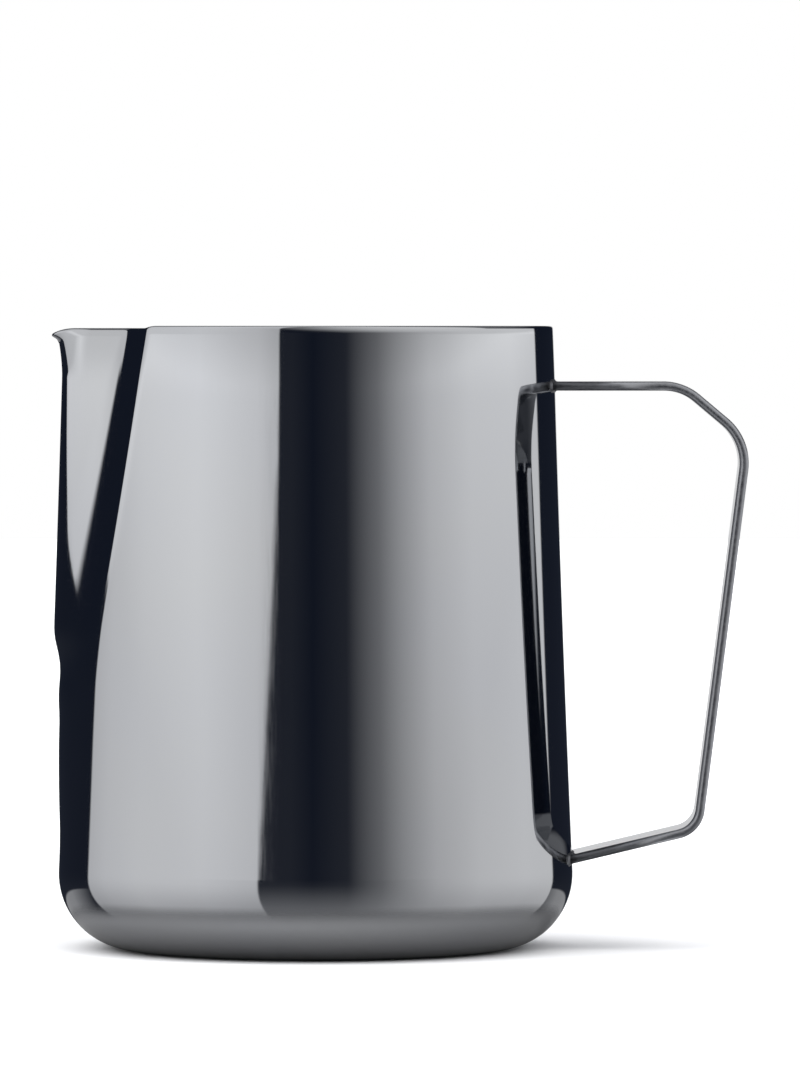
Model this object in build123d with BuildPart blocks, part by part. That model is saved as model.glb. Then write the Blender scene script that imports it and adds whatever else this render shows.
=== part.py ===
from build123d import *
import os
from math import atan2, cos, degrees, radians, sin, sqrt, tan

# Milk frothing pitcher: a drawn one-piece steel body with a pressed spout, and a bent strap handle
# that is butt-welded to its wall.
#
# Millimetres.  +Z is up, +X points to the handle and -X to the spout.  The origin is the middle of
# the flat underside.

os.makedirs("parts", exist_ok=True)

# Body: a drawn cup, narrower at the rim, with a large round corner into the flat base
body_height = 110.0
rim_radius = 42.0            # outside, at the rim
base_radius = 45.5           # outside, where the wall runs into the base corner
base_corner = 13.2           # outside radius of that corner
wall_waist = 0.2             # how far the wall pulls in from a straight cone, half way up
wall = 1.0                   # sheet thickness

# Spout: a V pressed out of the wall, with a shoulder pinched in on each side of it
spout_length = 62.5          # from the rim down to the notch where the keel dies out
keel_rise = 2.6              # how far the keel stands outside the round wall
keel_run_out = 8.9           # the keel dies out from this far above the notch ...
keel_run_under = 1.0         # ... to this far under it
nose_radius_rim = 7.0        # rounding of the keel at the rim ...
nose_radius_notch = 16.5     # ... and at the notch
flank_turn = 35.0            # degrees that a flank faces away from the pouring direction
shoulder_turn = 22.0         # degrees that a shoulder faces away from it
shoulder_start_rim = 48.0    # degrees round the body to where a shoulder begins, at the rim ...
shoulder_start_notch = 23.0  # ... and at the notch
shoulder_spread = 0.62       # under 1, the shoulders spread early on their way up to the rim
shoulder_run_out = 3.0       # the shoulders die out from this far above the notch ...
shoulder_run_under = 12.0    # ... to this far under it
crease_softness = 0.1        # how softly the shoulders leave the wall, at the notch ...
bend_softness = 0.9          # ... and how much more softly at the rim
press_swell = 1.0            # faint swelling that the press leaves under the notch
swell_top = 8.0              # it is full this far under the notch
swell_fade_under = 4.0       # it fades from this far under the notch ...
swell_fade_over = 6.0        # ... to this far above it

# Pouring lip: the keel curls outwards at the rim, and its tip hangs a little
lip_flare = 2.6
lip_flare_height = 12.0
lip_droop = 1.3
lip_droop_length = 4.0

# Handle: one bent strip of steel with tumbled edges
strap_width = 16.6
strap_thickness = 1.6
strap_edge = 0.4             # rounding of the strip's long edges
handle_drop = 10.6           # from the rim down to the middle of the level top run
top_run = 22.4               # level run, from the wall to the first corner
slope_out = 11.4             # the sloping run goes this far outwards ...
slope_down = 9.6             # ... and this far down
foot_height = 21.4           # from the underside up to the lower corner of the strip
grip_lean = 8.7              # how far the foot of the grip leans in towards the body
lower_fall = 13.4            # degrees that the lower run falls towards the body
top_bend = 9.0               # bend radii, along the middle of the strip
outer_bend = 9.5
lower_bend = 4.8

# Weld: a fillet bead all round each end of the strip
bead = 0.8

# ---- Form of the body --------------------------------------------------------------------------

notch_height = body_height - spout_length
spout_side = 64.0            # a section is free-form this many degrees to each side of the spout
section_step = 4.0           # degrees between the points of that stretch
base_sections = (0.3, 0.6, 0.85)                  # heights of the sections, as shares of the way
notch_sections = (0.0, 0.25, 0.5, 0.75, 1.0, 1.4)  # through the base, the keel's run-out, the keel
keel_sections = (0.25, 0.5, 0.75, 1.0)            # and the lip
lip_sections = (0.35, 0.7, 1.0)


def ease(value, low, high):
    """0 below low, 1 above high and smooth between them."""
    share = min(max((value - low) / (high - low), 0.0), 1.0)
    return share * share * (3 - 2 * share)


def soft_min(a, b, softness):
    """The smaller of two lengths, with the corner between them rounded off."""
    overlap = max(softness - abs(a - b), 0.0) / softness
    return min(a, b) - overlap * overlap * softness / 4


def wall_radius(height):
    """Outside radius of the round wall."""
    share = (height - base_corner) / (body_height - base_corner)
    return base_radius + (rim_radius - base_radius) * share - wall_waist * 4 * share * (1 - share)


def keel_out(height):
    """How far the front of the spout stands outside the round wall."""
    keel = ease(height, notch_height - keel_run_under, notch_height + keel_run_out)
    swell = ease(height, base_corner, notch_height - swell_top)
    fade = ease(height, notch_height - swell_fade_under, notch_height + swell_fade_over)
    curl = max(height - body_height + lip_flare_height, 0.0) / lip_flare_height
    return keel_rise * keel + press_swell * (swell - fade) + lip_flare * curl ** 2


def prow_radius(turn, height):
    """Outside radius of the V: a rounded nose between two flat flanks."""
    rise = max(height - notch_height, 0.0) / spout_length
    nose = nose_radius_notch + (nose_radius_rim - nose_radius_notch) * rise
    centre = wall_radius(height) + keel_out(height) - nose
    flank = radians(flank_turn)
    if turn < atan2(nose * sin(flank), centre + nose * cos(flank)):
        return centre * cos(turn) + sqrt(nose ** 2 - (centre * sin(turn)) ** 2)
    reach = centre * cos(flank) + nose
    return reach / cos(turn - flank) if turn < flank else reach * cos(turn - flank)


def shell_radius(degrees_round, height):
    """Outside radius of the body at an angle round from the middle of the spout."""
    turn = radians(abs(degrees_round))
    rise = max(height - notch_height, 0.0) / spout_length
    softness = crease_softness + bend_softness * rise
    spread = (shoulder_start_rim - shoulder_start_notch) * rise ** shoulder_spread
    start = radians(shoulder_start_notch + spread)
    face = radians(shoulder_turn)
    round_wall = wall_radius(height)
    flat = round_wall * cos(start - face) / cos(turn - face)
    pinch = round_wall - soft_min(round_wall, flat, softness)
    depth = ease(height, notch_height - shoulder_run_under, notch_height + shoulder_run_out)
    return -soft_min(-prow_radius(turn, height), pinch * depth - round_wall, softness)


def section_heights():
    """Heights of the drawn sections, closest together where the keel dies out."""
    base = [base_corner + (notch_height - base_corner) * share for share in base_sections]
    notch = [notch_height + keel_run_out * share for share in notch_sections]
    lip_start = body_height - lip_flare_height
    keel = [notch[-1] + (lip_start - notch[-1]) * share for share in keel_sections]
    lip = [lip_start + lip_flare_height * share for share in lip_sections]
    return base + notch + keel + lip


def free_form(height, inset):
    """The front of a section; all sections share one parameter scale, so that they loft cleanly."""
    count = round(2 * spout_side / section_step)
    points = []
    for step in range(count + 1):
        turn = spout_side - 2 * spout_side * step / count
        reach = shell_radius(turn, height) - inset
        points.append((-reach * cos(radians(turn)), reach * sin(radians(turn))))
    side = radians(spout_side)
    return Edge.make_spline(
        points,
        tangents=[(-sin(side), -cos(side)), (sin(side), -cos(side))],
        parameters=[step / count for step in range(count + 1)],
    )


def section(height, inset, drawn=True):
    """A level section of the body; one that isn't drawn out by the press is a plain circle."""
    radius = wall_radius(height) - inset
    side = radians(spout_side)
    start = (-radius * cos(side), -radius * sin(side))
    end = (-radius * cos(side), radius * sin(side))
    with BuildSketch(Plane.XY.offset(height)) as outline:
        with BuildLine():
            ThreePointArc(start, (radius, 0), end)
            if drawn:
                add(free_form(height, inset))
            else:
                ThreePointArc(end, (-radius, 0), start)
        make_face()
    return outline.sketch


def body_form(inset):
    """The body's solid form, inset from its outside face (a negative inset makes it larger)."""
    flat_radius = base_radius - base_corner
    corner = base_corner - inset
    plain = section(base_corner, inset, drawn=False)
    drawn = [section(height, inset) for height in section_heights()]
    with BuildPart() as form:
        with BuildSketch(Plane.XZ):
            with BuildLine():
                base = Line((0, inset), (flat_radius, inset))
                arc = CenterArc((flat_radius, base_corner), corner, -90, 90)
                Polyline(arc @ 1, (0, base_corner), base @ 0)
            make_face()
        revolve(axis=Axis.Z)
        loft(sections=[plain] + drawn, ruled=True)
    return form.part


outside = body_form(0)

# ---- Body --------------------------------------------------------------------------------------

tip_x = -(rim_radius + keel_out(body_height))
droop_x = tip_x + lip_droop_length
droop_turn = 2 * atan2(lip_droop, lip_droop_length)
droop_radius = lip_droop_length / sin(droop_turn)
beyond_tip = tip_x - lip_droop
over_rim = body_height + lip_droop

with BuildPart() as body:
    add(outside)
    add(body_form(wall), mode=Mode.SUBTRACT)
    with BuildSketch(Plane.XZ):
        with BuildLine():
            arc = CenterArc((droop_x, body_height - droop_radius), droop_radius, 90, degrees(droop_turn))
            Polyline(
                arc @ 1, (beyond_tip, (arc @ 1).Y), (beyond_tip, over_rim), (droop_x, over_rim), arc @ 0
            )
        make_face()
    extrude(amount=2 * nose_radius_rim, both=True, mode=Mode.SUBTRACT)
body.part.label = "body"
export_step(body.part, "parts/body.step")

# ---- Handle strap ------------------------------------------------------------------------------

top_z = body_height - handle_drop
wall_x = wall_radius(top_z)
corner_x = wall_x + top_run
grip_x = corner_x + slope_out
foot_x = grip_x - grip_lean
inside_x = wall_x / 2        # both ends start inside the body and are trimmed to its wall
fall = radians(lower_fall)
lower_z = foot_height - (foot_x - inside_x) * tan(fall)
upper_end = Plane((inside_x, 0, top_z), x_dir=(0, 1, 0), z_dir=(1, 0, 0))
lower_end = Plane((inside_x, 0, lower_z), x_dir=(0, 1, 0), z_dir=(cos(fall), 0, sin(fall)))

with BuildLine(Plane.XZ) as strap_line:
    FilletPolyline(
        (inside_x, top_z),
        (corner_x, top_z),
        (grip_x, top_z - slope_down),
        (foot_x, foot_height),
        (inside_x, lower_z),
        radius=[top_bend, outer_bend, lower_bend],
    )

with BuildPart() as handle_strap:
    with BuildSketch(upper_end):
        RectangleRounded(strap_width, strap_thickness, strap_edge)
    sweep(path=strap_line.line)
    add(outside, mode=Mode.SUBTRACT)
handle_strap.part.label = "handle_strap"
export_step(handle_strap.part, "parts/handle_strap.step")

# ---- Weld beads --------------------------------------------------------------------------------

around_body = body_form(-bead)


def weld_bead(strip_end):
    """A ring of weld metal around one end of the strip; strip_end looks along the strip."""
    with BuildPart() as ring:
        with BuildSketch(strip_end):
            RectangleRounded(strap_width + 2 * bead, strap_thickness + 2 * bead, strap_edge + bead)
        extrude(amount=wall_x)
        add(around_body, mode=Mode.INTERSECT)
        add(outside, mode=Mode.SUBTRACT)
        add(handle_strap.part, mode=Mode.SUBTRACT)
    return ring.part


for name, strip_end in {"upper_weld_bead": upper_end, "lower_weld_bead": lower_end}.items():
    weld = weld_bead(strip_end)
    weld.label = name
    export_step(weld, f"parts/{name}.step")
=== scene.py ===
from math import atan2, cos, hypot, pi, radians, sin, sqrt, tan

import bmesh
import bpy
from mathutils import Matrix, Vector


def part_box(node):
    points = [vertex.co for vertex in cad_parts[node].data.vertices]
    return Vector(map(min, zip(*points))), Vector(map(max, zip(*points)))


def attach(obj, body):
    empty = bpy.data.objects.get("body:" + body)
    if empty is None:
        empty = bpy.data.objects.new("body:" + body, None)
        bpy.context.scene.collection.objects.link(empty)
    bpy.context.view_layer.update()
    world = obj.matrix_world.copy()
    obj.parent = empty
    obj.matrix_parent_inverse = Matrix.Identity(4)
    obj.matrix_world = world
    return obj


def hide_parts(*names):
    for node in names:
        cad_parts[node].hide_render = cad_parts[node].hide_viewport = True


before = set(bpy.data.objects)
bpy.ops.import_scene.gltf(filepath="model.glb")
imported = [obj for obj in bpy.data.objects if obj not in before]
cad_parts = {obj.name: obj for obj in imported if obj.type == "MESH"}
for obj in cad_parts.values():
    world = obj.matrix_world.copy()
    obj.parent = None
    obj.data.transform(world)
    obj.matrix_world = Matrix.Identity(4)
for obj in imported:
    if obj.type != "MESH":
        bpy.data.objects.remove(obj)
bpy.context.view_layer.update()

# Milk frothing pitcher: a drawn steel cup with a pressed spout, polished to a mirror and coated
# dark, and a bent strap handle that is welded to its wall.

# ---- Cup ---------------------------------------------------------------------------------------
# The cup is one deep-drawn sheet of 18/8 stainless steel: a flat base, a large round corner and a
# wall that narrows to a trimmed and rounded rim. A press has pushed the spout out of the wall as a
# V, which pinches in a shoulder on each side of it and leaves a notch where its keel dies out.

MM = 0.001
cup_low, cup_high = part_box("body")
rim_height = cup_high.z
base_radius = cup_high.y
rim_radius = 42.0 * MM
base_corner = 13.2 * MM
wall_waist = 0.2 * MM
wall = 1.0 * MM
rim_curl = 0.1 * MM
rim_curl_height = 12.0 * MM

# How the press forms the V, its shoulders and the faint swelling under the notch
spout_length = 62.5 * MM
keel_rise = 2.6 * MM
keel_run_out = 8.9 * MM
nose_radius_rim = 7.6 * MM
nose_radius_notch = 18.0 * MM
nose_sharpening = 1.6
flank_turn = radians(31.7)
shoulder_turn = radians(23.9)
shoulder_start_rim = radians(47.6)
shoulder_start_notch = radians(24)
shoulder_spread = 0.63
shoulder_softness = 0.3 * MM
valley_softness_rim = 0.25 * MM
valley_softness_notch = 2.2 * MM
keel_run_under = 1.0 * MM
shoulder_run_out = 3.0 * MM
shoulder_run_under = 12.0 * MM
press_swell = 1.0 * MM
swell_side = radians(24)
swell_top = 8.0 * MM
swell_fade_under = 4.0 * MM
swell_fade_over = 6.0 * MM
springback = 1.8 * MM

# How the lip curls out to a beak, and how the rim sinks between the shoulders and at the tip
lip_flare = 1.2 * MM
lip_flare_height = 9.0 * MM
lip_flare_side = radians(15)
lip_curve = 1.5
beak_out = 1.1 * MM
beak_height = 2.2 * MM
beak_side = radians(5)
rim_dip = 0.4 * MM
dip_height = 8.0 * MM
dip_start = shoulder_start_rim + radians(2)
dip_full = shoulder_start_rim - radians(4)
lip_droop = 1.1 * MM
lip_droop_length = 4.2 * MM

notch_height = rim_height - spout_length


def ease(value, low, high):
    """0 below low, 1 above high and smooth between them."""
    share = min(max((value - low) / (high - low), 0.0), 1.0)
    return share * share * (3 - 2 * share)


def soft_min(a, b, softness):
    """The smaller of two lengths, with the corner between them rounded off."""
    overlap = max(softness - abs(a - b), 0.0) / softness
    return min(a, b) - overlap * overlap * softness / 4


def wall_radius(height):
    """Outside radius of the round wall."""
    share = (height - base_corner) / (rim_height - base_corner)
    cone = base_radius + (rim_radius - base_radius) * share - wall_waist * 4 * share * (1 - share)
    near_rim = max(height - rim_height + rim_curl_height, 0.0) / rim_curl_height
    return cone - rim_curl * near_rim ** 2


def swell_out(height):
    """How far the press makes the wall bulge under the notch."""
    rising = ease(height, base_corner, notch_height - swell_top)
    fading = ease(height, notch_height - swell_fade_under, notch_height + swell_fade_over)
    return press_swell * (rising - fading)


def prow_radius(turn, height):
    """Outside radius of the V: a rounded nose between two flat flanks."""
    rise = max(height - notch_height, 0.0) / spout_length
    nose = nose_radius_notch + (nose_radius_rim - nose_radius_notch) * rise ** nose_sharpening
    keel = keel_rise * ease(height, notch_height - keel_run_under, notch_height + keel_run_out)
    centre = wall_radius(height) + keel + swell_out(height) - nose
    if turn < atan2(nose * sin(flank_turn), centre + nose * cos(flank_turn)):
        return centre * cos(turn) + sqrt(nose ** 2 - (centre * sin(turn)) ** 2)
    reach = centre * cos(flank_turn) + nose
    return reach / cos(turn - flank_turn) if turn < flank_turn else reach * cos(turn - flank_turn)


def press_out(turn, height):
    """How far the press moves the round wall outwards (inwards if negative), by angle from the spout."""
    rise = max(height - notch_height, 0.0) / spout_length
    valley_softness = valley_softness_notch + (valley_softness_rim - valley_softness_notch) * rise
    spread = (shoulder_start_rim - shoulder_start_notch) * rise ** shoulder_spread
    start = shoulder_start_notch + spread
    round_wall = wall_radius(height)
    flat = round_wall * cos(start - shoulder_turn) / cos(turn - shoulder_turn)
    pinch = round_wall - soft_min(round_wall, flat, shoulder_softness)
    pinch *= ease(height, notch_height - shoulder_run_under, notch_height + shoulder_run_out)
    side = round_wall - pinch + swell_out(height) * ease(turn, swell_side, 0)
    spout = -soft_min(-prow_radius(turn, height), -side, valley_softness)
    formed = side + (spout - side) * ease(height, notch_height - swell_top, notch_height)
    flare = max(height - rim_height + lip_flare_height, 0.0) / lip_flare_height
    lip = lip_flare * flare ** lip_curve * ease(turn, lip_flare_side, 0)
    beak = beak_out * ease(height, rim_height - beak_height, rim_height) * ease(turn, beak_side, 0)
    return formed + lip + beak - round_wall


def sprung_back(turn, height):
    """press_out evened over the sheet round each point, most of all near the notch."""
    rise = min(max(height - notch_height, 0.0) / spout_length, 1.0)
    reach = springback * (1 - rise)
    aside = reach / base_radius
    around = ((0, 0), (aside, 0), (-aside, 0), (0, reach), (0, -reach))
    return sum(press_out(abs(turn + along), height + up) for along, up in around) / len(around)


def press_down(turn, distance, height):
    """How far the pressed rim sinks between its shoulders and at the tip of the lip."""
    dip = rim_dip * ease(turn, dip_start, dip_full)
    beyond = max(distance + cup_low.x + lip_droop_length, 0.0) / lip_droop_length
    return (dip + lip_droop * beyond ** 2) * ease(height, rim_height - dip_height, rim_height)


def draw_through(bm, vert, points):
    """Draws a line on from vert through points, each a distance out and a height."""
    for out, up in points:
        vert = bmesh.ops.extrude_vert_indiv(bm, verts=[vert])["verts"][0]
        vert.co = (out, 0, up)
    return vert


def draw_arc(bm, vert, centre, angle, steps):
    """Draws a line on round a centre in the XZ plane, from +X towards +Z for a positive angle."""
    arc = bmesh.ops.spin(
        bm, geom=[vert], cent=centre, axis=(0, -1, 0), angle=angle, steps=steps, use_duplicate=False
    )
    return [item for item in arc["geom_last"] if isinstance(item, bmesh.types.BMVert)][0]


wall_lean = atan2(wall_radius(base_corner) - wall_radius(base_corner + wall), wall)
base_flat = base_radius - base_corner / cos(wall_lean)
inside_corner = base_corner - wall
rim_round = wall / 2
corner_centre = (base_flat, 0, base_corner)
rim_centre = (wall_radius(rim_height - rim_round) - rim_round, 0, rim_height - rim_round)
wall_foot = base_corner + base_corner * sin(wall_lean)
wall_top = rim_height - rim_round
outside_rows = 96
inside_rows = 64
base_rows = 5
corner_steps = 20
inside_corner_steps = 16
rim_steps = 8
merge_gap = 0.01 * MM


def up_the_wall(rows, inset):
    """The points of one face of the wall, from its foot to under the rim."""
    rises = [wall_foot + (wall_top - wall_foot) * (row + 1) / rows for row in range(rows)]
    return [(wall_radius(rise) - inset, rise) for rise in rises]


bm = bmesh.new()
vert = bm.verts.new((0, 0, 0))
vert = draw_through(bm, vert, [(base_flat * (row + 1) / base_rows, 0) for row in range(base_rows)])
vert = draw_arc(bm, vert, corner_centre, pi / 2 + wall_lean, corner_steps)
vert = draw_through(bm, vert, up_the_wall(outside_rows, 0))
vert = draw_arc(bm, vert, rim_centre, pi, rim_steps)
vert = draw_through(bm, vert, reversed(up_the_wall(inside_rows, wall)[:-1]))
inside_foot = (base_flat + inside_corner * cos(wall_lean), base_corner + inside_corner * sin(wall_lean))
vert = draw_through(bm, vert, [inside_foot])
vert = draw_arc(bm, vert, corner_centre, -pi / 2 - wall_lean, inside_corner_steps)
inside_base = [(base_flat * row / base_rows, wall) for row in reversed(range(base_rows))]
draw_through(bm, vert, inside_base)

spout_half = radians(64)
spout_columns = 256
back_columns = 144
profile = bm.verts[:] + bm.edges[:]
bmesh.ops.rotate(
    bm, verts=bm.verts[:], cent=(0, 0, 0), matrix=Matrix.Rotation(pi - spout_half, 3, "Z")
)
front = bmesh.ops.spin(
    bm, geom=profile, cent=(0, 0, 0), axis=(0, 0, 1), angle=2 * spout_half, steps=spout_columns
)
bmesh.ops.spin(
    bm,
    geom=front["geom_last"],
    cent=(0, 0, 0),
    axis=(0, 0, 1),
    angle=2 * pi - 2 * spout_half,
    steps=back_columns,
)
bmesh.ops.remove_doubles(bm, verts=bm.verts[:], dist=merge_gap)
for vert in bm.verts:
    turn = atan2(abs(vert.co.y), -vert.co.x)
    distance = hypot(vert.co.x, vert.co.y)
    if turn < spout_half and vert.co.z > base_corner:
        share = ease(vert.co.z, base_corner, 2 * base_corner)
        pushed = distance + sprung_back(turn, vert.co.z) * share
        vert.co.x *= pushed / distance
        vert.co.y *= pushed / distance
        vert.co.z -= press_down(turn, pushed, vert.co.z)
bmesh.ops.recalc_face_normals(bm, faces=bm.faces[:])

for face in bm.faces:
    face.smooth = True
    centre = face.calc_center_median()
    outwards = face.normal.x * centre.x + face.normal.y * centre.y
    underside = face.normal.z < -0.5
    face.material_index = 0 if outwards > 0 or underside else 1
mesh = bpy.data.meshes.new("cup")
bm.to_mesh(mesh)
bm.free()
cup = bpy.data.objects.new("cup", mesh)
bpy.context.scene.collection.objects.link(cup)


def linear(hex_colour):
    """An sRGB hex colour as the linear colour that a shader takes."""
    shares = [int(hex_colour[at : at + 2], 16) / 255 for at in (1, 3, 5)]
    return [s / 12.92 if s <= 0.04045 else ((s + 0.055) / 1.055) ** 2.4 for s in shares] + [1.0]


def socket(sockets, name):
    """A socket by number, or the one in use by name: a Mix node has several of each name."""
    if isinstance(name, int):
        return sockets[name]
    return next(one for one in sockets if one.name == name and one.enabled)


def add(tree, kind, links=None, inputs=None, **settings):
    """Adds a node: links are {socket: output}, inputs are {socket: value}."""
    node = tree.nodes.new(kind)
    for name, value in settings.items():
        setattr(node, name, value)
    for name, value in (inputs or {}).items():
        socket(node.inputs, name).default_value = value
    for name, output in (links or {}).items():
        tree.links.new(output, socket(node.inputs, name))
    return node


def new_material(name):
    """An empty material and its node tree."""
    material = bpy.data.materials.new(name)
    material.use_nodes = True
    material.node_tree.nodes.clear()
    return material, material.node_tree


# Outside: 18/8 steel buffed to a mirror, then coated dark grey by vapour deposition. The film takes
# two fifths of the light, a touch more of the red, and leaves the mirror sharp. Up close it shows
# faint upright buffing marks, the slow waves of the drawn sheet and a few specks under the film.
# The marks are drawn coarser than real ones, which are too fine to show.
film_patch = 35 * MM
buffing_width = 0.4 * MM
buffing_length = 14 * MM
sheet_wave = 18 * MM
sheet_wave_height = 0.003 * MM
# Nearly all of a noise pattern's values lie between these.
noise_low = 0.3
noise_high = 0.7
speck_gap = 15 * MM
speck_radius = 0.16 * MM

mirror, tree = new_material("mirror_polished_dark_coated_steel")
place = add(tree, "ShaderNodeTexCoord").outputs["Object"]
film = add(tree, "ShaderNodeTexNoise", links={"Vector": place}, inputs={"Scale": 1 / film_patch})
tone = add(
    tree,
    "ShaderNodeMix",
    links={"Factor": film.outputs["Fac"]},
    inputs={"A": linear("#C4C6CB"), "B": linear("#C9CACB")},
    data_type="RGBA",
)
upright = add(
    tree,
    "ShaderNodeMapping",
    links={"Vector": place},
    inputs={"Scale": (1 / buffing_width, 1 / buffing_width, 1 / buffing_length)},
)
buffing = add(
    tree, "ShaderNodeTexNoise", links={"Vector": upright.outputs["Vector"]}, inputs={"Scale": 1.0}
)
haze = add(
    tree,
    "ShaderNodeMapRange",
    links={"Value": buffing.outputs["Fac"]},
    inputs={"From Min": noise_low, "From Max": noise_high, "To Min": 0.03, "To Max": 0.055},
)
specks = add(
    tree, "ShaderNodeTexVoronoi", links={"Vector": place}, inputs={"Scale": 1 / speck_gap}
)
rough_speck = add(
    tree,
    "ShaderNodeMapRange",
    links={"Value": specks.outputs["Distance"]},
    inputs={
        "From Min": speck_radius / speck_gap,
        "From Max": 0.5 * speck_radius / speck_gap,
        "To Max": 0.3,
    },
)
roughness = add(
    tree,
    "ShaderNodeMath",
    links={0: haze.outputs["Result"], 1: rough_speck.outputs["Result"]},
    operation="ADD",
)
waves = add(tree, "ShaderNodeTexNoise", links={"Vector": place}, inputs={"Scale": 1 / sheet_wave})
relief = add(
    tree,
    "ShaderNodeBump",
    links={"Height": waves.outputs["Fac"]},
    inputs={"Distance": sheet_wave_height},
)
steel = add(
    tree,
    "ShaderNodeBsdfPrincipled",
    links={
        "Base Color": socket(tone.outputs, "Result"),
        "Roughness": roughness.outputs["Value"],
        "Normal": relief.outputs["Normal"],
    },
    inputs={"Metallic": 1.0},
)
add(tree, "ShaderNodeOutputMaterial", links={"Surface": steel.outputs["BSDF"]})
mesh.materials.append(mirror)

# Inside: the same steel left bright and brushed on the lathe, so fine rings run round the wall and
# round the base, and light spreads across them. They too are drawn coarser than real ones.
ring_pitch = 0.35 * MM
ring_length = 25 * MM
ring_height = 0.002 * MM
stain_patch = 20 * MM

satin, tree = new_material("satin_lathe_brushed_steel")
place = add(tree, "ShaderNodeTexCoord").outputs["Object"]
parts = add(tree, "ShaderNodeSeparateXYZ", links={"Vector": place})
level = add(tree, "ShaderNodeCombineXYZ", links={"X": parts.outputs["X"], "Y": parts.outputs["Y"]})
out = add(tree, "ShaderNodeVectorMath", links={0: level.outputs["Vector"]}, operation="LENGTH")
along = add(
    tree,
    "ShaderNodeMath",
    links={0: out.outputs["Value"], 1: parts.outputs["Z"]},
    operation="SUBTRACT",
)
across = add(
    tree,
    "ShaderNodeCombineXYZ",
    links={"X": parts.outputs["X"], "Y": parts.outputs["Y"], "Z": along.outputs["Value"]},
)
stretched = add(
    tree,
    "ShaderNodeMapping",
    links={"Vector": across.outputs["Vector"]},
    inputs={"Scale": (1 / ring_length, 1 / ring_length, 1 / ring_pitch)},
)
rings = add(
    tree,
    "ShaderNodeTexNoise",
    links={"Vector": stretched.outputs["Vector"]},
    inputs={"Scale": 1.0, "Detail": 3.0},
)
stain = add(tree, "ShaderNodeTexNoise", links={"Vector": place}, inputs={"Scale": 1 / stain_patch})
tone = add(
    tree,
    "ShaderNodeMix",
    links={"Factor": stain.outputs["Fac"]},
    inputs={"A": linear("#D4D3D0"), "B": linear("#DEDDDB")},
    data_type="RGBA",
)
roughness = add(
    tree,
    "ShaderNodeMapRange",
    links={"Value": rings.outputs["Fac"]},
    inputs={"From Min": noise_low, "From Max": noise_high, "To Min": 0.24, "To Max": 0.38},
)
relief = add(
    tree, "ShaderNodeBump", links={"Height": rings.outputs["Fac"]}, inputs={"Distance": ring_height}
)
steel = add(
    tree,
    "ShaderNodeBsdfPrincipled",
    links={
        "Base Color": socket(tone.outputs, "Result"),
        "Roughness": roughness.outputs["Result"],
        "Normal": relief.outputs["Normal"],
    },
    inputs={"Metallic": 1.0},
)
add(tree, "ShaderNodeOutputMaterial", links={"Surface": steel.outputs["BSDF"]})
mesh.materials.append(satin)

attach(cup, "root")
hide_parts("body")

# ---- Handle strap ------------------------------------------------------------------------------
# The handle is one flat strip of the same steel, tumbled so that its long edges are round, bent at
# three corners and butt-welded to the wall at both ends before the whole pitcher is coated.

strap_low, strap_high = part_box("handle_strap")
strap_width = strap_high.y - strap_low.y
strap_thickness = 1.6 * MM
strap_edge = 0.72 * MM
handle_drop = 10.6 * MM
top_run = 22.4 * MM
slope_out = 11.4 * MM
slope_down = 9.6 * MM
foot_height = 21.4 * MM
grip_lean = 8.7 * MM
lower_fall = radians(13.4)
bend_radii = (9.0 * MM, 9.5 * MM, 4.8 * MM)
bend_steps = 24
sunk = 0.4 * MM

top_z = rim_height - handle_drop
top_corner = Vector((wall_radius(top_z) + top_run, 0, top_z))
grip_top = top_corner + Vector((slope_out, 0, -slope_down))
foot = Vector((grip_top.x - grip_lean, 0, foot_height))
upper_end = Vector((wall_radius(top_z), 0, top_z))
lower_run = Vector((-cos(lower_fall), 0, -sin(lower_fall)))
lower_end = foot + lower_run * (foot.x - base_radius) / cos(lower_fall)


def strip_outline(bm, spread, side_steps, edge_steps):
    """A closed outline of the strip's section, spread outwards, across the X axis at the origin."""
    radius = strap_edge + spread
    half_width = strap_width / 2 - strap_edge
    half_height = strap_thickness / 2 - strap_edge
    vert = bm.verts.new((half_width, 0, -half_height - radius))
    for out, up, steps in ((1, -1, 1), (1, 1, side_steps), (-1, 1, 1), (-1, -1, side_steps)):
        vert = draw_arc(bm, vert, (out * half_width, 0, up * half_height), pi / 2, edge_steps)
        across = Vector((-2 * half_width * (out == up), 0, 2 * half_height * (out != up))) * out
        start = vert.co.copy()
        points = [start + across * (step + 1) / steps for step in range(steps)]
        vert = draw_through(bm, vert, [(point.x, point.z) for point in points])
    bmesh.ops.remove_doubles(bm, verts=bm.verts[:], dist=merge_gap)
    bmesh.ops.rotate(bm, verts=bm.verts[:], cent=(0, 0, 0), matrix=Matrix.Rotation(pi / 2, 3, "Z"))
    return bm.edges[:]


def extrude_on(bm, edges, move):
    """Extrudes a loop of edges and moves the new loop, which is given back."""
    made = bmesh.ops.extrude_edge_only(bm, edges=edges)["geom"]
    verts = [item for item in made if isinstance(item, bmesh.types.BMVert)]
    bmesh.ops.translate(bm, verts=verts, vec=move)
    new_edges = [item for item in made if isinstance(item, bmesh.types.BMEdge)]
    return [edge for edge in new_edges if set(edge.verts) <= set(verts)]


def slide_to_wall(verts, along, stand_off):
    """Slides verts along a direction until they stand a distance off the wall's outside."""
    for vert in verts:
        target = sqrt((wall_radius(vert.co.z) + stand_off) ** 2 - vert.co.y ** 2)
        vert.co += along * (target - vert.co.x) / along.x


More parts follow.
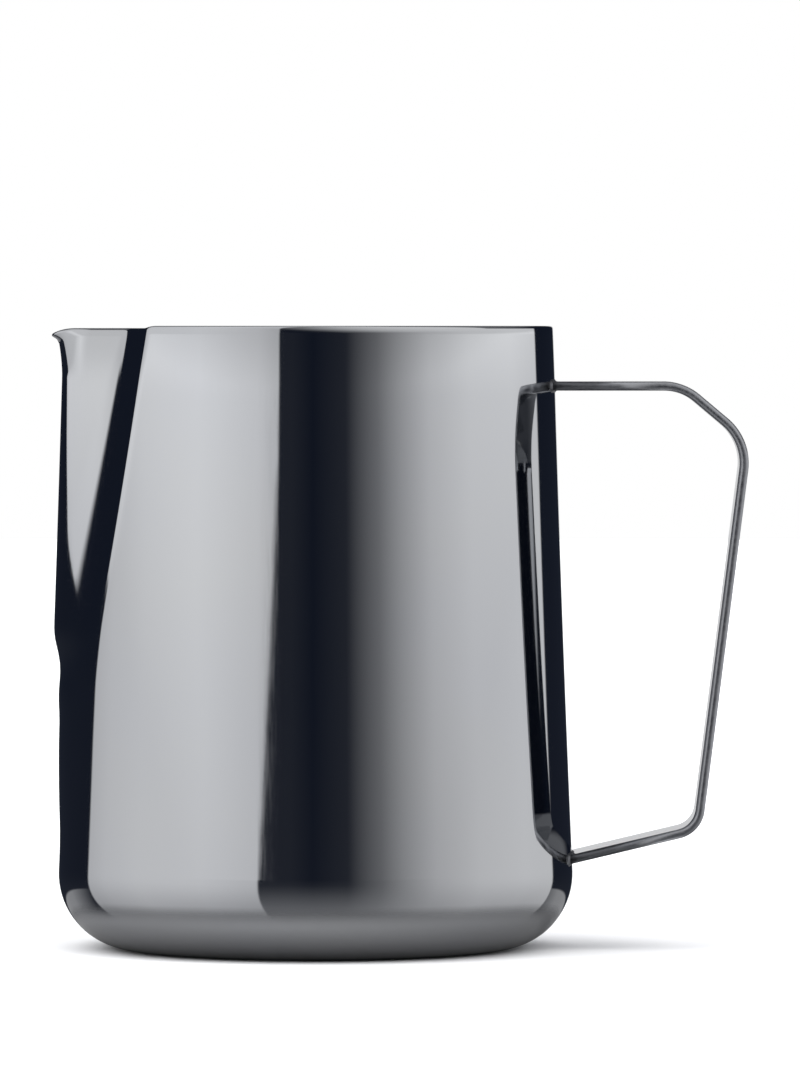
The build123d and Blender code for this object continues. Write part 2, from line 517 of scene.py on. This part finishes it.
bm = bmesh.new()
edges = strip_outline(bm, 0, side_steps=12, edge_steps=6)
bmesh.ops.translate(bm, verts=bm.verts[:], vec=upper_end)
slide_to_wall(bm.verts[:], Vector((1, 0, 0)), -sunk)
first_loop = edges
along = Vector((1, 0, 0))
at = upper_end
corners = (top_corner, grip_top, foot)
for corner, after, radius in zip(corners, (grip_top, foot, lower_end), bend_radii):
    ahead = (after - corner).normalized()
    turn = along.angle(ahead)
    bend_start = corner - along * radius * tan(turn / 2)
    edges = extrude_on(bm, edges, bend_start - at)
    centre = bend_start + Matrix.Rotation(pi / 2, 3, "Y") @ along * radius
    if corner is top_corner:
        # The first loop follows the round wall, so the next is set square before it is bent.
        for vert in {vert for edge in edges for vert in edge.verts}:
            vert.co.x = bend_start.x
    bend = bmesh.ops.spin(
        bm, geom=edges, cent=centre, axis=(0, 1, 0), angle=turn, steps=bend_steps, use_duplicate=False
    )
    edges = [item for item in bend["geom_last"] if isinstance(item, bmesh.types.BMEdge)]
    at = corner + ahead * radius * tan(turn / 2)
    along = ahead
edges = extrude_on(bm, edges, lower_end - at)
slide_to_wall({vert for edge in edges for vert in edge.verts}, along, -sunk)
bmesh.ops.edgeloop_fill(bm, edges=first_loop)
bmesh.ops.edgeloop_fill(bm, edges=edges)
bmesh.ops.recalc_face_normals(bm, faces=bm.faces[:])
for face in bm.faces:
    face.smooth = True
mesh = bpy.data.meshes.new("strap_handle")
bm.to_mesh(mesh)
bm.free()
strap = bpy.data.objects.new("strap_handle", mesh)
bpy.context.scene.collection.objects.link(strap)
strap.modifiers.new("flat sides stay flat", "WEIGHTED_NORMAL")

# The strip's faces are rolled and polished under the same dark coating. Its slit edges are only
# tumbled: they are matt and mottled, and scatter the light into a soft grey.
grit = 0.5 * MM
rolling_length = 20 * MM
rolling_width = 0.3 * MM
pit_depth = 0.01 * MM

tumbled, tree = new_material("tumbled_dark_coated_steel_strip")
place = add(tree, "ShaderNodeTexCoord").outputs["Object"]
parts = add(tree, "ShaderNodeSeparateXYZ", links={"Vector": place})
from_middle = add(tree, "ShaderNodeMath", links={0: parts.outputs["Y"]}, operation="ABSOLUTE")
edge = add(
    tree,
    "ShaderNodeMapRange",
    links={"Value": from_middle.outputs["Value"]},
    inputs={
        "From Min": strap_width / 2 - strap_edge,
        "From Max": strap_width / 2 - 0.6 * strap_edge,
    },
    interpolation_type="SMOOTHSTEP",
)
mottle = add(
    tree, "ShaderNodeTexNoise", links={"Vector": place}, inputs={"Scale": 1 / grit, "Detail": 3.0}
)
matt = add(
    tree,
    "ShaderNodeMapRange",
    links={"Value": mottle.outputs["Fac"]},
    inputs={"From Min": noise_low, "From Max": noise_high, "To Min": 0.28, "To Max": 0.42},
)
lengthwise = add(
    tree,
    "ShaderNodeMapping",
    links={"Vector": place},
    inputs={"Scale": (1 / rolling_length, 1 / rolling_width, 1 / rolling_length)},
)
rolling = add(
    tree, "ShaderNodeTexNoise", links={"Vector": lengthwise.outputs["Vector"]}, inputs={"Scale": 1.0}
)
polished = add(
    tree,
    "ShaderNodeMapRange",
    links={"Value": rolling.outputs["Fac"]},
    inputs={"From Min": noise_low, "From Max": noise_high, "To Min": 0.05, "To Max": 0.09},
)
roughness = add(
    tree,
    "ShaderNodeMix",
    links={
        "Factor": edge.outputs["Result"],
        "A": polished.outputs["Result"],
        "B": matt.outputs["Result"],
    },
)
worn = add(
    tree,
    "ShaderNodeMix",
    links={"Factor": mottle.outputs["Fac"]},
    inputs={"A": linear("#9A9CA1"), "B": linear("#C0C1C4")},
    data_type="RGBA",
)
tone = add(
    tree,
    "ShaderNodeMix",
    links={"Factor": edge.outputs["Result"], "B": socket(worn.outputs, "Result")},
    inputs={"A": linear("#C6C8CB")},
    data_type="RGBA",
)
relief = add(
    tree,
    "ShaderNodeBump",
    links={"Height": mottle.outputs["Fac"], "Strength": edge.outputs["Result"]},
    inputs={"Distance": pit_depth},
)
steel = add(
    tree,
    "ShaderNodeBsdfPrincipled",
    links={
        "Base Color": socket(tone.outputs, "Result"),
        "Roughness": socket(roughness.outputs, "Result"),
        "Normal": relief.outputs["Normal"],
    },
    inputs={"Metallic": 1.0},
)
add(tree, "ShaderNodeOutputMaterial", links={"Surface": steel.outputs["BSDF"]})
mesh.materials.append(tumbled)

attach(strap, "root")
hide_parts("handle_strap")

# ---- Weld beads --------------------------------------------------------------------------------
# Each end of the strip is joined to the wall by a small fillet bead all round it, laid by TIG
# welding, brushed by hand and coated over. Its ripples are the steps of the torch.

bead = 0.45 * MM
# A hollow fillet, as distances out from the strip and off the wall. Its root is sunk into both.
bead_section = (
    (-sunk / 2, -sunk / 2),
    (-sunk / 2, 1.3 * bead),
    (0, 0.85 * bead),
    (0.3 * bead, 0.3 * bead),
    (0.85 * bead, 0),
    (1.3 * bead, -sunk / 2),
)
ripple = 0.7 * MM
ripple_depth = 0.05 * MM

# Weld metal is left as the torch laid it, brushed once and coated with the rest: dark, half matt
# and rippled, with small specks of slag.
weld_metal, tree = new_material("tig_weld_metal_dark_coated")
place = add(tree, "ShaderNodeTexCoord").outputs["Object"]
torch_steps = add(
    tree,
    "ShaderNodeTexVoronoi",
    links={"Vector": place},
    inputs={"Scale": 1 / ripple},
    feature="SMOOTH_F1",
)
slag = add(
    tree, "ShaderNodeTexNoise", links={"Vector": place}, inputs={"Scale": 4 / ripple, "Detail": 4.0}
)
tone = add(
    tree,
    "ShaderNodeMix",
    links={"Factor": slag.outputs["Fac"]},
    inputs={"A": linear("#5E6065"), "B": linear("#8C8D90")},
    data_type="RGBA",
)
roughness = add(
    tree,
    "ShaderNodeMapRange",
    links={"Value": slag.outputs["Fac"]},
    inputs={"From Min": noise_low, "From Max": noise_high, "To Min": 0.28, "To Max": 0.5},
)
relief = add(
    tree,
    "ShaderNodeBump",
    links={"Height": torch_steps.outputs["Distance"]},
    inputs={"Distance": ripple_depth},
)
steel = add(
    tree,
    "ShaderNodeBsdfPrincipled",
    links={
        "Base Color": socket(tone.outputs, "Result"),
        "Roughness": roughness.outputs["Result"],
        "Normal": relief.outputs["Normal"],
    },
    inputs={"Metallic": 1.0},
)
add(tree, "ShaderNodeOutputMaterial", links={"Surface": steel.outputs["BSDF"]})

for name, end, along in (
    ("upper_weld", upper_end, Vector((1, 0, 0))),
    ("lower_weld", lower_end, -lower_run),
):
    bm = bmesh.new()
    for spread, stand_off in bead_section:
        ring = bmesh.new()
        strip_outline(ring, spread, side_steps=48, edge_steps=8)
        tilt = Matrix.Rotation(-atan2(along.z, along.x), 3, "Y")
        bmesh.ops.rotate(ring, verts=ring.verts[:], cent=(0, 0, 0), matrix=tilt)
        bmesh.ops.translate(ring, verts=ring.verts[:], vec=end)
        slide_to_wall(ring.verts[:], along, stand_off)
        loop = bpy.data.meshes.new("loop")
        ring.to_mesh(loop)
        ring.free()
        bm.from_mesh(loop)
        bpy.data.meshes.remove(loop)
    bm.edges.ensure_lookup_table()
    around = len(bm.edges) // len(bead_section)
    loops = [bm.edges[number * around : (number + 1) * around] for number in range(len(bead_section))]
    for one, next_one in zip(loops, loops[1:] + loops[:1]):
        bmesh.ops.bridge_loops(bm, edges=one + next_one)
    bmesh.ops.recalc_face_normals(bm, faces=bm.faces[:])
    for face in bm.faces:
        face.smooth = True
    mesh = bpy.data.meshes.new(name)
    bm.to_mesh(mesh)
    bm.free()
    weld = bpy.data.objects.new(name, mesh)
    bpy.context.scene.collection.objects.link(weld)
    mesh.materials.append(weld_metal)
    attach(weld, "root")
    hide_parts(name + "_bead")

# ---- Studio ------------------------------------------------------------------------------------
# A pale floor in a dark studio, with soft light from both sides: on the left a tall softbox with a
# sharp inner edge, on the right one that fades towards the middle. Smaller panels above, behind and
# below each light one side of the steel. The camera sees plain white in place of the lights.

bpy.context.scene.view_settings.view_transform = "Standard"
world = bpy.data.worlds.new("studio")
world.use_nodes = True
bpy.context.scene.world = world
tree = world.node_tree
tree.nodes.clear()

# The light is a brightness for every direction: x is to the right, y away from the camera and z up,
# and azimuth is the angle round from the front, positive to the right. Share is that angle as a
# share of a full turn, counted from straight behind.
direction = add(tree, "ShaderNodeTexCoord").outputs["Generated"]
x, y, z = add(tree, "ShaderNodeSeparateXYZ", links={"Vector": direction}).outputs
minus_y = add(tree, "ShaderNodeMath", links={0: y}, inputs={1: -1.0}, operation="MULTIPLY")
azimuth = add(
    tree, "ShaderNodeMath", links={0: x, 1: minus_y.outputs["Value"]}, operation="ARCTAN2"
).outputs["Value"]
share = add(
    tree, "ShaderNodeMapRange", links={"Value": azimuth}, inputs={"From Min": -pi, "From Max": pi}
).outputs["Result"]

# What changes with height: its value up to one height and from another on, in degrees above the
# horizon. First an edge in radians, then two shifts as shares of a full turn, then two factors of
# the softboxes' brightness, and last the brightness of four panels.
by_height = {}
for name, low, high, low_value, high_value, curve in (
    ("left inner edge", 1.3, 2.75, radians(24.4), radians(16.0), "LINEAR"),
    ("left outer shift", 1.4, 1.8, 5.5 / 360, 0.0, "LINEAR"),
    ("right lean", 7, 14, 0.0, 40 / 360, "LINEAR"),
    ("rise", 0.8, 2.9, 0.8, 1.03, "LINEAR"),
    ("decline", 3.1, 4.6, 1.0, 0.8, "LINEAR"),
    ("overhead", 20, 30, 0.0, 0.2, "SMOOTHSTEP"),
    ("straight above", 68, 78, 0.0, 0.7, "SMOOTHSTEP"),
    ("table", -8.3, -9.5, 0.0, 0.3, "SMOOTHSTEP"),
    ("straight below", -66, -78, 0.0, 1.2, "SMOOTHSTEP"),
):
    by_height[name] = add(
        tree,
        "ShaderNodeMapRange",
        links={"Value": z},
        inputs={
            "From Min": sin(radians(low)),
            "From Max": sin(radians(high)),
            "To Min": low_value,
            "To Max": high_value,
        },
        interpolation_type=curve,
    ).outputs["Result"]

# The softboxes, as (degrees round, brightness). For low directions the far end of the left one
# comes nearer, and high up the right one leans in towards the middle.
left_stops = (
    (-127.7, 0.0),
    (-127, 0.86),
    (-113, 0.98),
    (-91, 1.05),
    (-56, 1.06),
    (-46, 1.0),
    (-26, 0.86),
    (-19, 0.74),
    (-14, 0.7),
)
right_stops = (
    (-30, 0),
    (-20, 0.012),
    (-10, 0.012),
    (0, 0),
    (16, 0.016),
    (31, 0.21),
    (41, 0.42),
    (57, 0.72),
    (80, 0.94),
    (110, 1.05),
    (133.6, 1.0),
    (134.4, 0.0),
)
softboxes = []
for shift, operation, stops in (
    ("left outer shift", "SUBTRACT", left_stops),
    ("right lean", "ADD", right_stops),
):
    shifted = add(tree, "ShaderNodeMath", links={0: share, 1: by_height[shift]}, operation=operation)
    ramp = add(tree, "ShaderNodeValToRGB", links={"Fac": shifted.outputs["Value"]})
    elements = ramp.color_ramp.elements
    elements.remove(elements[1])
    elements[0].color = (0, 0, 0, 1)
    for angle, value in stops:
        elements.new((angle + 180) / 360).color = (value, value, value, 1)
    softboxes.append(ramp.outputs["Color"])
left, right = softboxes

edge_blur = radians(0.6)
from_edge = add(
    tree, "ShaderNodeMath", links={0: azimuth, 1: by_height["left inner edge"]}, operation="ADD"
)
inside_edge = add(
    tree,
    "ShaderNodeMapRange",
    links={"Value": from_edge.outputs["Value"]},
    inputs={"From Min": edge_blur, "From Max": -edge_blur},
    interpolation_type="SMOOTHSTEP",
)
left_light = add(
    tree, "ShaderNodeMath", links={0: left, 1: inside_edge.outputs["Result"]}, operation="MULTIPLY"
)
both = add(
    tree, "ShaderNodeMath", links={0: left_light.outputs["Value"], 1: right}, operation="ADD"
)
brightness = add(
    tree,
    "ShaderNodeMath",
    links={0: by_height["rise"], 1: by_height["decline"]},
    operation="MULTIPLY",
)
sides = add(
    tree,
    "ShaderNodeMath",
    links={0: both.outputs["Value"], 1: brightness.outputs["Value"]},
    operation="MULTIPLY",
)

# Downwards the softboxes give way to the table, which is darker away from the camera.
table_start = radians(2)
table_full = radians(-60)
table_near = 0.28
table_far = 0.06
near_until = -0.1
far_from = 0.4
depth = add(tree, "ShaderNodeMath", links={0: z}, operation="ARCSINE")
table_share = add(
    tree,
    "ShaderNodeMapRange",
    links={"Value": depth.outputs["Value"]},
    inputs={"From Min": table_start, "From Max": table_full},
)
table_light = add(
    tree,
    "ShaderNodeMapRange",
    links={"Value": y},
    inputs={
        "From Min": near_until,
        "From Max": far_from,
        "To Min": table_near,
        "To Max": table_far,
    },
)
all_round = add(
    tree,
    "ShaderNodeMix",
    links={
        "Factor": table_share.outputs["Result"],
        "A": sides.outputs["Value"],
        "B": table_light.outputs["Result"],
    },
)
light = socket(all_round.outputs, "Result")

# A small panel straight behind, and a lit stretch of table behind.
back_half_width = radians(8)
back_half_height = radians(12)
back_side_blur = radians(1.5)
back_end_blur = radians(3)
back_brightness = 0.66
stretch_start = 0.5
stretch_full = 0.8
aside = add(tree, "ShaderNodeMath", links={0: x}, operation="ABSOLUTE")
narrow = add(
    tree,
    "ShaderNodeMapRange",
    links={"Value": aside.outputs["Value"]},
    inputs={
        "From Min": sin(back_half_width),
        "From Max": sin(back_half_width - back_side_blur),
        "To Max": back_brightness,
    },
    interpolation_type="SMOOTHSTEP",
)
behind = add(
    tree,
    "ShaderNodeMapRange",
    links={"Value": y},
    inputs={
        "From Min": cos(back_half_height),
        "From Max": cos(back_half_height - back_end_blur),
    },
    interpolation_type="SMOOTHSTEP",
)
back_panel = add(
    tree,
    "ShaderNodeMath",
    links={0: narrow.outputs["Result"], 1: behind.outputs["Result"]},
    operation="MULTIPLY",
)
beyond = add(
    tree,
    "ShaderNodeMapRange",
    links={"Value": y},
    inputs={"From Min": stretch_start, "From Max": stretch_full},
)
table_behind = add(
    tree,
    "ShaderNodeMath",
    links={0: by_height["table"], 1: beyond.outputs["Result"]},
    operation="MULTIPLY",
)
for panel in (
    by_height["overhead"],
    by_height["straight above"],
    back_panel.outputs["Value"],
    table_behind.outputs["Value"],
    by_height["straight below"],
):
    light = add(tree, "ShaderNodeMath", links={0: light, 1: panel}, operation="MAXIMUM").outputs["Value"]

# Stray light keeps the darkest reflections a faint blue. Diffuse rays get more light than the
# reflections do, so that the floor comes out white.
diffuse_boost = 3.2
tinted = add(
    tree,
    "ShaderNodeMix",
    links={"A": light},
    inputs={"Factor": 1.0, "B": linear("#181D29")},
    data_type="RGBA",
    blend_type="ADD",
)
diffuse = add(tree, "ShaderNodeLightPath").outputs["Is Diffuse Ray"]
strength = add(
    tree,
    "ShaderNodeMath",
    links={0: diffuse},
    inputs={1: diffuse_boost, 2: 1.0},
    operation="MULTIPLY_ADD",
)
studio = add(
    tree,
    "ShaderNodeBackground",
    links={"Color": socket(tinted.outputs, "Result"), "Strength": strength.outputs["Value"]},
)
backdrop = add(tree, "ShaderNodeBackground", inputs={"Color": linear("#FFFFFF")})
seen = add(tree, "ShaderNodeLightPath").outputs["Is Camera Ray"]
mixed = add(
    tree,
    "ShaderNodeMixShader",
    links={0: seen, 1: studio.outputs["Background"], 2: backdrop.outputs["Background"]},
)
add(tree, "ShaderNodeOutputWorld", links={"Surface": mixed.outputs["Shader"]})

floor_radius = 3.0
bm = bmesh.new()
bmesh.ops.create_circle(bm, cap_ends=True, segments=128, radius=floor_radius)
mesh = bpy.data.meshes.new("floor")
bm.to_mesh(mesh)
bm.free()
floor = bpy.data.objects.new("floor", mesh)
bpy.context.scene.collection.objects.link(floor)

# Matt pale paper. Reflections in the steel see it darker than it is, and past the pitcher's foot
# they see through it to the studio's light.
foot_edge = 46 * MM
foot_fade = 62 * MM

paper, tree = new_material("pale_floor")
pale = add(tree, "ShaderNodeBsdfDiffuse", inputs={"Color": linear("#F3F3F3")})
grey = add(tree, "ShaderNodeBsdfDiffuse", inputs={"Color": linear("#8C8C8C")})
clear = add(tree, "ShaderNodeBsdfTransparent")
place = add(tree, "ShaderNodeTexCoord").outputs["Object"]
distance = add(tree, "ShaderNodeVectorMath", links={0: place}, operation="LENGTH")
far = add(
    tree,
    "ShaderNodeMapRange",
    links={"Value": distance.outputs["Value"]},
    inputs={"From Min": foot_edge, "From Max": foot_fade},
    interpolation_type="SMOOTHSTEP",
)
reflected = add(
    tree,
    "ShaderNodeMixShader",
    links={0: far.outputs["Result"], 1: grey.outputs["BSDF"], 2: clear.outputs["BSDF"]},
)
polish = add(tree, "ShaderNodeLightPath").outputs["Is Glossy Ray"]
mixed = add(
    tree,
    "ShaderNodeMixShader",
    links={0: polish, 1: pale.outputs["BSDF"], 2: reflected.outputs["Shader"]},
)
add(tree, "ShaderNodeOutputMaterial", links={"Surface": mixed.outputs["Shader"]})
mesh.materials.append(paper)

# ---- Camera ------------------------------------------------------------------------------------
# It stands level with the rim, a little to the right of square on, and looks slightly down.

camera_distance = 1.57
camera_turn = radians(1.4)
view_height = 188.6 * MM
aim = Vector((14.9 * MM, 0, 73.3 * MM))
camera_data = bpy.data.cameras.new("camera")
camera_data.sensor_width = 36.0
camera_data.lens = camera_data.sensor_width * camera_distance / view_height
camera_data.clip_start = 0.05
camera_data.clip_end = 50.0
camera = bpy.data.objects.new("camera", camera_data)
camera.location = (camera_distance * sin(camera_turn), -camera_distance * cos(camera_turn), rim_height)
camera.rotation_euler = (aim - camera.location).to_track_quat("-Z", "Y").to_euler()
bpy.context.scene.collection.objects.link(camera)
bpy.context.scene.camera = camera
